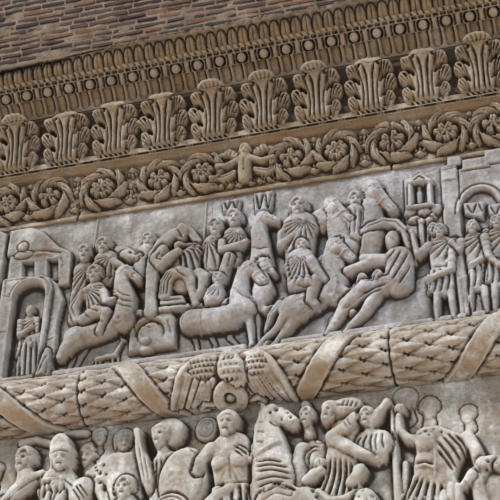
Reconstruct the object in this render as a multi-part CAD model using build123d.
"""Relief-clad marble pier of a triumphal arch, standing on the ground.

Millimetres, +Z up. The carved front looks along -Y, and the origin is the
middle of the footing's underside. A masonry core carries marble courses and
relief slabs on all four sides, and plain brickwork stands on the cornice.
"""
from build123d import *
import os
from math import cos, hypot, pi, sin

os.makedirs("parts", exist_ok=True)

# plan of the pier: the cornice leaves set the rhythm
LEAF_PITCH = 364.0
FRONT_LEAVES = 12
SIDE_LEAVES = 8
WIDTH = FRONT_LEAVES * LEAF_PITCH
DEPTH = SIDE_LEAVES * LEAF_PITCH
FACING = 220.0
BRICK_SETBACK = 30.0

# heights of the courses, from the ground up
FOOTING_H = 300.0
SOCLE_H = 1850.0
BASE_H = 300.0
REGISTERS = 4
REGISTER_H = 1330.0
FRIEZE_H = 420.0
BED_H = 80.0
LEAF_COURSE_H = 425.0
FLUTE_H = 95.0
EGG_H = 50.0
DENTIL_H = 40.0
CROWN_H = 120.0
BRICK_COURSE_H = 62.0
BRICK_COURSES = 22

# how far the courses stand out from the wall
FOOTING_OUT = 250.0
SOCLE_OUT = 110.0
BASE_TORUS_R = 60.0
BASE_NECK_OUT = 66.0
BASE_NECK_H = 24.0
LEDGE_OUT = 80.0
LEDGE_H = 45.0
TORUS_R = 168.0
TORUS_OUT = 60.0
TORUS_FILLET = 22.0
TORUS_STEPS = 8
FRIEZE_FILLET_H = 40.0
FRIEZE_FILLET_OUT = 15.0
BED_FOOT_OUT = 30.0
BED_OUT = 92.0
BED_CYMA_H = 36.0
LEAF_FOOT_OUT = 92.0
LEAF_TOP_OUT = 130.0
FLUTE_MID_OUT = 162.0
EGG_FOOT_OUT = 225.0
EGG_TOP_OUT = 280.0
DENTIL_OUT = 335.0
CROWN_FOOT_OUT = 350.0
CROWN_MID_OUT = 374.0
CROWN_OUT = 420.0
CROWN_LIP_H = 30.0

# acanthus leaves of the cornice
LEAF_W = 352.0
LEAF_THICK = 40.0
LEAF_LEAN = 20.0
LEAF_TIP_OUT = 240.0

# carving
RELIEF_OUT = 130.0
GATE_OUT = 95.0
RIDER_LEAVES = 3
CROWD_GAP = 112.0
RIDER_TO_SLOT = 1.15
WREATH_R = 90.0
WREATH_WIRE = 40.0
EAGLE_SPAN = 640.0
EAGLE_OUT = 28.0
FRIEZE_OUT = 70.0
ROSETTE_R = 95.0
ROSETTE_SIDES = 6

# Sheet that the two front reliefs were read on, in hundredths of a metre: x is
# read from the wall's middle and h from the register's foot.
SHEET_W = 436.8
SHEET_H = 133.0

# levels
GARLAND_H = 2 * (TORUS_R + TORUS_FILLET)
SOCLE_Z = FOOTING_H
BASE_Z = SOCLE_Z + SOCLE_H
STOREY_H = REGISTER_H + GARLAND_H
REGISTER_Z = [BASE_Z + BASE_H + i * STOREY_H for i in range(REGISTERS)]
GARLAND_Z = [z + REGISTER_H for z in REGISTER_Z[:-1]]
FRIEZE_Z = REGISTER_Z[-1] + REGISTER_H
BED_Z = FRIEZE_Z + FRIEZE_H
LEAF_Z = BED_Z + BED_H
CORONA_Z = LEAF_Z + LEAF_COURSE_H
CROWN_Z = CORONA_Z + FLUTE_H + EGG_H + DENTIL_H
BRICK_Z = CROWN_Z + CROWN_H
BRICK_H = BRICK_COURSES * BRICK_COURSE_H

CORE_W = WIDTH - 2 * FACING
CORE_D = DEPTH - 2 * FACING
ACROSS = WIDTH / SHEET_W
UP = REGISTER_H / SHEET_H

# side: turn about Z, wall width, distance between this wall and its opposite
SIDES = {"front": (0, WIDTH, DEPTH), "back": (180, WIDTH, DEPTH),
         "right": (90, DEPTH, WIDTH), "left": (-90, DEPTH, WIDTH)}


# solids of the masonry

def block(width, depth, height, z):
    """Upright block standing on level z over the origin."""
    return Pos(0, 0, z) * Box(width, depth, height, align=(Align.CENTER, Align.CENTER, Align.MIN))


def straight(*points):
    """Moulding edge of straight runs through (projection, height) points."""
    return [Line(a, b) for a, b in zip(points, points[1:])]


def moulding_face(edge, half):
    """Face between a moulding's edge, half a wall away, and its mirror image."""
    right = [Pos(half, 0) * run for run in edge]
    left = [mirror(run, about=Plane.YZ) for run in right]
    ends = sorted((v for run in right for v in run.vertices()), key=lambda v: v.Y)
    low, high = ends[0], ends[-1]
    foot = Line((-low.X, low.Y), (low.X, low.Y))
    head = Line((-high.X, high.Y), (high.X, high.Y))
    return make_face(right + left + [foot, head])


def course(edge, z):
    """Moulded course with mitred corners: two long extrusions of the same
    moulding cross each other, and the core passes through the middle."""
    along_x = extrude(Plane.YZ * moulding_face(edge, DEPTH / 2), amount=WIDTH, both=True)
    along_y = extrude(Plane.XZ * moulding_face(edge, WIDTH / 2), amount=DEPTH, both=True)
    solid = Pos(0, 0, z) * (along_x & along_y)
    return solid - block(CORE_W, CORE_D, BRICK_Z, 0)


def on_side(side, solid):
    """Turns a piece made for the front, wall face on y=0, to its side."""
    angle, _, apart = SIDES[side]
    return Rot(0, 0, angle) * Pos(0, -apart / 2, 0) * solid


def slab_width(side):
    """Front and back slabs run the whole wall; side slabs stand between them."""
    width = SIDES[side][1]
    return width if side in ("front", "back") else width - 2 * FACING


def wall_block(width, height, out, z=0.0):
    """Slab from the core's face to the wall, or out in front of it."""
    return Pos(0, (FACING - out) / 2, z + height / 2) * Box(width, FACING + out, height)


# flat outlines of carved masses, in wall widths x and heights h

def outline(*points):
    """Closed straight-sided outline."""
    return make_face(Polyline(*points, close=True))


def oval(x, h, half_w, half_h, sides=8):
    """Many-sided oval, for heads, bodies, shields and wheels."""
    turns = [2 * pi * (i + 0.5) / sides for i in range(sides)]
    return outline(*[(x + half_w * cos(t), h + half_h * sin(t)) for t in turns])


def limb(start, end, r_start, r_end):
    """Tapering limb between two points."""
    dx, dh = end[0] - start[0], end[1] - start[1]
    length = hypot(dx, dh)
    nx, nh = -dh / length, dx / length
    a, b = (start[0] + nx * r_start, start[1] + nh * r_start), (end[0] + nx * r_end, end[1] + nh * r_end)
    c, d = (end[0] - nx * r_end, end[1] - nh * r_end), (start[0] - nx * r_start, start[1] - nh * r_start)
    return outline(a, b, c, d)


def round_headed(x, foot, half_w, spring, sides=8):
    """Door-like outline with straight jambs and a round head."""
    turns = [pi * i / sides for i in range(sides + 1)]
    head = [(x + half_w * cos(t), spring + half_w * sin(t)) for t in turns]
    return outline((x + half_w, foot), *head, (x - half_w, foot))


def raise_all(outlines, out):
    """Raised mass of the outlines on the wall; y=0 is the slab's ground."""
    return extrude(Plane.XZ * (Sketch() + outlines), amount=out)


# figures: every number is a share of the figure's height

def walker(x, foot, tall):
    """Standing draped figure: head, cloak and feet."""
    head = tall / 8
    half_widths = ((1.0, 0.78), (1.2, 0.3), (0.7, 0.0), (-0.7, 0.0), (-1.1, 0.3), (-1.0, 0.78))
    cloak = outline(*[(x + head * u, foot + tall * v) for u, v in half_widths])
    return [oval(x, foot + tall - head, head * 0.5, head * 0.7, 5), cloak]


def horse(x, foot, tall, way):
    """Horse in profile, tall at the withers, facing way (+1 right, -1 left)."""
    def at(u, v):
        return (x + way * u * tall, foot + v * tall)
    parts = (((0.4, 0.78), (0.66, 1.22), 0.18, 0.11),
             ((0.6, 1.26), (0.9, 1.04), 0.1, 0.06),
             ((0.38, 0.7), (0.7, 0.46), 0.09, 0.05),
             ((0.3, 0.7), (0.34, 0.0), 0.09, 0.04),
             ((-0.4, 0.72), (-0.5, 0.0), 0.12, 0.04))
    barrel = oval(*at(0, 0.72), 0.54 * tall, 0.21 * tall, 6)
    return [barrel] + [limb(at(*a), at(*b), r * tall, s * tall) for a, b, r, s in parts]


def rider(x, foot, tall, way):
    """Horse with a cloaked rider, tall from the hooves to the rider's crown."""
    mount_x = x - way * tall * 0.12
    head = tall / 10
    seat, neck = (mount_x - way * head * 0.3, foot + tall * 0.46), (mount_x, foot + tall * 0.84)
    body = limb(seat, neck, head * 1.25, head * 0.95)
    face = oval(mount_x + way * head * 0.2, foot + tall - head * 0.9, head * 0.62, head * 0.9, 5)
    return horse(mount_x, foot, tall * 0.56, way) + [body, face]


# relief slabs

def ground_slab(side):
    """Register slab with the ledge that the figures stand on."""
    width = slab_width(side)
    return wall_block(width, REGISTER_H, 0).fuse(wall_block(width, LEDGE_H, LEDGE_OUT))


def marching_register(side, first_rides):
    """Plain register: a rider and three walkers in turn, over three leaves each."""
    width = slab_width(side)
    count = round(width / (RIDER_LEAVES * LEAF_PITCH))
    slot = width / count
    tall = min(REGISTER_H - CROWD_GAP, slot * RIDER_TO_SLOT)
    figures = []
    for i in range(count):
        x = width * ((i + 0.5) / count - 0.5)
        if (i % 2 == 0) == first_rides:
            figures += rider(x, LEDGE_H, tall, 1)
        else:
            for k in (-1, 0, 1):
                figures += walker(x + k * slot * 0.31, LEDGE_H, tall * (0.97 - 0.03 * k))
    return ground_slab(side).fuse(raise_all(figures, RELIEF_OUT))


def read(x, h):
    """Point read on the front's sheet, at the pier's size."""
    return (x * ACROSS, h * UP)


def read_outline(*points):
    return outline(*[read(x, h) for x, h in points])


def read_oval(x, h, half_w, half_h, sides=8):
    return oval(*read(x, h), half_w * UP, half_h * UP, sides)


def read_limb(start, end, r_start, r_end):
    return limb(read(*start), read(*end), r_start * UP, r_end * UP)


def read_box(left, right, low, high):
    return read_outline((left, low), (right, low), (right, high), (left, high))


def city_gate(x, half_w, top, niche_half, niche_spring):
    """Gate front with a round-headed opening, in low relief."""
    ledge = LEDGE_H / UP
    mid, spring = read(x, niche_spring)
    return read_box(x - half_w, x + half_w, ledge, top) - round_headed(mid, LEDGE_H / 2, niche_half * UP, spring)


def procession_register():
    """Front top register: gates at both ends, carriage and riders between."""
    ledge = LEDGE_H / UP
    left_gate = city_gate(-147, 21, 84, 10.5, 61)
    upper = read_outline((-163, 83), (-126, 83), (-127, 100), (-134, 104), (-163, 106))
    windows = [read_box(-155, -147, 85, 97), read_box(-135, -129, 85, 97)]
    right_gate = city_gate(151, 14.5, 122, 10.5, 92)
    tower = read_box(130, 141, 60, 126)
    shrine = read_outline((109, 96), (125, 96), (125, 118), (117, 127), (109, 118))
    corners = [read_box(178, 202, ledge, 124), read_box(-202, -178, ledge, 124)]
    city = [(Sketch() + [left_gate, upper]) - windows, Sketch() + [right_gate, tower, shrine]] + corners

    hood = read_oval(-46, 82, 25, 26, 12) - read_oval(-46, 82, 17, 18, 10)
    wheel = read_oval(-56, 27, 16, 15, 12)
    seated = [read_limb((-44, 94), (-42, 70), 12, 15), read_limb((-50, 66), (-34, 42), 10, 5)]
    carriage = [hood, wheel, read_box(-72, -40, 40, 46), read_oval(-43, 97, 5, 6, 6)] + seated

    mounted = rider(read(-100, 0)[0], 6 * UP, 88 * UP, 1) + rider(read(42, 0)[0], 12 * UP, 82 * UP, 1)
    draught = horse(read(-14, 0)[0], LEDGE_H, 50 * UP, 1)
    rear_horse = horse(read(78, 0)[0], 40 * UP, 56 * UP, 1)[:3]
    heads = [read_oval(x, h, 5.5, 8, 6) for x, h in ((-110, 98), (-99, 101), (-68, 99), (-18, 100), (-5, 103), (37, 105), (75, 102))]
    cloaks = [read_limb((x, 92), (x, 62), 10, 9) for x in (-110, -18, 0, 37)]
    reclining = [read_limb((104, 62), (78, 40), 11, 8), read_limb((78, 40), (58, 12), 7, 4), read_oval(97, 70, 6, 8, 6)]
    greeting = walker(read(128, 0)[0], LEDGE_H, 62 * UP) + walker(read(153, 0)[0], LEDGE_H, 66 * UP)

    people = carriage + mounted + draught + rear_horse + heads + cloaks + reclining + greeting
    return ground_slab("front").fuse(raise_all(city, GATE_OUT)).fuse(raise_all(people, RELIEF_OUT))


def battle_register():
    """Front second register: mounted fighters closing from both ends."""
    fighters = [read_oval(-36, 66, 15, 18)]
    for x, tall, way in ((-160, 112, 1), (-75, 108, 1), (168, 110, -1)):
        fighters += rider(read(x, 0)[0], LEDGE_H, tall * UP, way)
    for x, tall in ((-112, 118), (-8, 122), (70, 118), (120, 118)):
        fighters += walker(read(x, 0)[0], LEDGE_H, tall * UP)
    fighters += horse(read(36, 0)[0], LEDGE_H, 82 * UP, -1)
    return ground_slab("front").fuse(raise_all(fighters, RELIEF_OUT))


# ornament

def garland(z):
    """Round of the garland, in flat steps, between two fillets."""
    turns = [pi * (i / TORUS_STEPS - 0.5) for i in range(TORUS_STEPS + 1)]
    torus = [(TORUS_OUT + TORUS_R * cos(t), GARLAND_H / 2 + TORUS_R * sin(t)) for t in turns]
    low, high = TORUS_FILLET, GARLAND_H - TORUS_FILLET
    return course(straight((LEDGE_OUT, 0), (LEDGE_OUT, low), *torus, (LEDGE_OUT, high), (LEDGE_OUT, GARLAND_H)), z)


def eagle():
    """Spread wings, body and neck in front view, in shares of the span and round."""
    mid, half = GARLAND_H / 2, EAGLE_SPAN / 2
    wing = ((0.12, -0.36), (0.19, 0.36), (0.62, 0.96), (1.0, 0.8), (0.7, -0.12), (0.4, -0.7))
    wings = [outline(*[(e * half * u, mid + TORUS_R * v) for u, v in wing]) for e in (-1, 1)]
    body = oval(0, mid + TORUS_R * 0.12, half * 0.19, TORUS_R * 0.72, 6)
    neck = oval(0, mid + TORUS_R * 0.95, half * 0.09, TORUS_R * 0.21, 6)
    return Sketch() + wings + [body, neck]


def garland_ornament(z):
    """Eagle on the round, and the wreath that it stands on."""
    foot = GARLAND_H / 2 - TORUS_R * 0.4
    ring = oval(0, foot, WREATH_R, WREATH_R * 0.8) - oval(0, foot, WREATH_R - WREATH_WIRE, (WREATH_R - WREATH_WIRE) * 0.8, 6)
    seat = Pos(0, -TORUS_OUT - TORUS_R / 2, z)
    bird = seat * extrude(Plane.XZ * eagle(), amount=TORUS_R / 2 + EAGLE_OUT)
    return bird.fuse(seat * extrude(Plane.XZ * ring, amount=TORUS_R / 2 + EAGLE_OUT + WREATH_WIRE / 2))


def acanthus_leaf():
    """Leaf that leans out from the course: its lobed front view and its bent
    side view, each extruded, cross each other."""
    tip, half = LEAF_COURSE_H, LEAF_W / 2
    right = [(0.44, 0.0), (0.99, 0.27), (0.64, 0.37), (1.0, 0.64), (0.7, 0.74), (0.74, 0.92), (0.36, 0.98)]
    rim = [(half * u, tip * v) for u, v in right] + [(-half * u, tip * v) for u, v in reversed(right)]
    sunk, face = LEAF_FOOT_OUT - LEAF_THICK / 2, LEAF_FOOT_OUT + LEAF_LEAN
    side = [(face, 0), (face + LEAF_LEAN, tip * 0.6), (LEAF_TIP_OUT, tip * 0.92), (LEAF_TIP_OUT - LEAF_THICK, tip * 0.97),
            (sunk, tip * 0.9), (sunk, 0)]
    bend = extrude(Plane.YZ * outline(*[(-out, z) for out, z in side]), amount=LEAF_W, both=True)
    return bend & extrude(Plane.XZ * outline(*rim), amount=2 * LEAF_TIP_OUT)


def leaf_course():
    """Sloping course with a row of acanthus leaves on each side."""
    ground = course(straight((LEAF_FOOT_OUT, 0), (LEAF_TOP_OUT, LEAF_COURSE_H)), LEAF_Z)
    leaf = acanthus_leaf()
    leaves = []
    for side, (_, width, _) in SIDES.items():
        count = round(width / LEAF_PITCH)
        for i in range(count):
            leaves.append(on_side(side, Pos((i - (count - 1) / 2) * LEAF_PITCH, 0, LEAF_Z) * leaf))
    return ground.fuse(*leaves)


def frieze(side):
    """Frieze slab: fillet at the foot, and a row of rosettes, one over each leaf."""
    width = slab_width(side)
    body = wall_block(width, FRIEZE_H, 0).fuse(wall_block(width, FRIEZE_FILLET_H, FRIEZE_FILLET_OUT))
    count = int(width / LEAF_PITCH)
    mid = (FRIEZE_H + FRIEZE_FILLET_H) / 2
    places = [width * ((i + 0.5) / count - 0.5) for i in range(count)]
    rosettes = [oval(x, mid, ROSETTE_R, ROSETTE_R, ROSETTE_SIDES) for x in places]
    return on_side(side, Pos(0, 0, FRIEZE_Z) * body.fuse(raise_all(rosettes, FRIEZE_OUT)))


# the pieces

export_step(block(WIDTH + 2 * FOOTING_OUT, DEPTH + 2 * FOOTING_OUT, FOOTING_H, 0), "parts/footing.step")
export_step(block(CORE_W, CORE_D, BRICK_Z - FOOTING_H, FOOTING_H), "parts/core.step")
export_step(course(straight((SOCLE_OUT, 0), (SOCLE_OUT, SOCLE_H)), SOCLE_Z), "parts/socle.step")

torus_h = 2 * BASE_TORUS_R
base_torus = ThreePointArc((SOCLE_OUT, 0), (SOCLE_OUT + BASE_TORUS_R, BASE_TORUS_R), (SOCLE_OUT, torus_h))
base_neck = straight((SOCLE_OUT, torus_h), (BASE_NECK_OUT, torus_h + BASE_NECK_H), (BASE_NECK_OUT, BASE_H))
export_step(course([base_torus] + base_neck, BASE_Z), "parts/base_moulding.step")

plain_panels = {(side, rides): marching_register(side, rides) for side in ("front", "right") for rides in (True, False)}
front_panels = {1: procession_register(), 2: battle_register()}
for i, z in enumerate(REGISTER_Z):
    number = REGISTERS - i
    for side in SIDES:
        alike = "front" if side in ("front", "back") else "right"
        panel = plain_panels[alike, number % 2 == 0]
        if side == "front" and number in front_panels:
            panel = front_panels[number]
        export_step(on_side(side, Pos(0, 0, z) * panel), f"parts/register_{number}_{side}.step")

for i, z in enumerate(GARLAND_Z):
    carved = garland_ornament(z)
    export_step(garland(z).fuse(*[on_side(side, carved) for side in SIDES]), f"parts/garland_{REGISTERS - 1 - i}.step")

for side in SIDES:
    export_step(frieze(side), f"parts/frieze_{side}.step")

bed_edge = straight((BED_FOOT_OUT, 0), (BED_OUT, BED_CYMA_H), (BED_OUT, BED_H))
export_step(course(bed_edge, BED_Z), "parts/cornice_bed.step")
export_step(leaf_course(), "parts/cornice_leaves.step")

egg_z = FLUTE_H + EGG_H
flutes = ThreePointArc((LEAF_TOP_OUT, 0), (FLUTE_MID_OUT, FLUTE_H / 2), (EGG_FOOT_OUT, FLUTE_H))
eggs = straight((EGG_FOOT_OUT, FLUTE_H), (EGG_TOP_OUT, egg_z), (DENTIL_OUT, egg_z + DENTIL_H))
export_step(course([flutes] + eggs, CORONA_Z), "parts/cornice_corona.step")

lip_z = CROWN_H - CROWN_LIP_H
crown_cyma = ThreePointArc((CROWN_FOOT_OUT, 0), (CROWN_MID_OUT, lip_z * 0.55), (CROWN_OUT, lip_z))
export_step(course([crown_cyma] + straight((CROWN_OUT, lip_z), (CROWN_OUT, CROWN_H)), CROWN_Z), "parts/cornice_crown.step")

brickwork = block(WIDTH - 2 * BRICK_SETBACK, DEPTH - 2 * BRICK_SETBACK, BRICK_H, BRICK_Z)
export_step(brickwork, "parts/brickwork.step")
